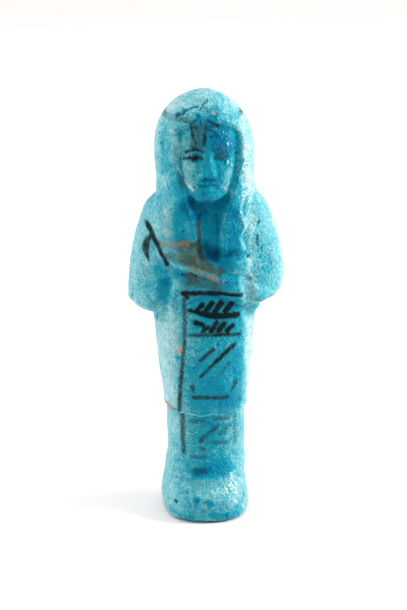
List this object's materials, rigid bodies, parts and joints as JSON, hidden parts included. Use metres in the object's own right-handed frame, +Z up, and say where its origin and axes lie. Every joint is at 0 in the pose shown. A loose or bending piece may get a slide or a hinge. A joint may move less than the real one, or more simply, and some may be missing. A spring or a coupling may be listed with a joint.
{
  "type": "ushabti figurine",
  "caption": "Small upright servant figurine of glazed faience with a heavy wig, crossed arms, a kilt with a raised hem, painted strokes on the front and a flat sole to stand on.",
  "frame": {"origin": "on the flat sole, under the middle of the body", "axes": "+Z up from the sole to the crown, -Y the way the figure faces, +X to a viewer's right"},
  "size_m": [0.0359, 0.0236, 0.1],
  "materials": {
    "faience_glaze": "turquoise alkaline glaze over a gritty quartz body, half gloss, grainy and crazed, with brown-black brush strokes"
  },
  "bodies": {
    "root": {"ushabti_figure": "faience_glaze"}
  },
  "joints": []
}
